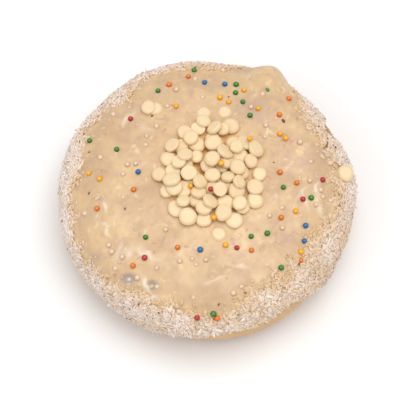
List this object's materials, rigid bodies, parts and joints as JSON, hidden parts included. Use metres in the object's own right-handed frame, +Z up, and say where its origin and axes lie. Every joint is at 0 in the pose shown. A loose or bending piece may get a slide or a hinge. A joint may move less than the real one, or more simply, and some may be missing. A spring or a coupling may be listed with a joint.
{
  "type": "iced doughnut",
  "caption": "Round filled doughnut with pale icing, a coconut edge, sugar pearls and a heap of white chocolate drops in the middle.",
  "frame": {"origin": "middle of the flat base that the doughnut rests on", "axes": "+Z up through the heap of drops, +X to the right in the picture, -Y towards the picture's viewer"},
  "size_m": [0.0974, 0.0974, 0.0387],
  "materials": {
    "dough": "pale fried dough, dry and matt",
    "icing": "set cream icing with a soft sheen, rough with coconut round its edge",
    "drops": "white chocolate with a waxy sheen"
  },
  "bodies": {
    "root": {"dough": "dough", "icing": "icing", "drop_heap": "drops"}
  },
  "joints": []
}
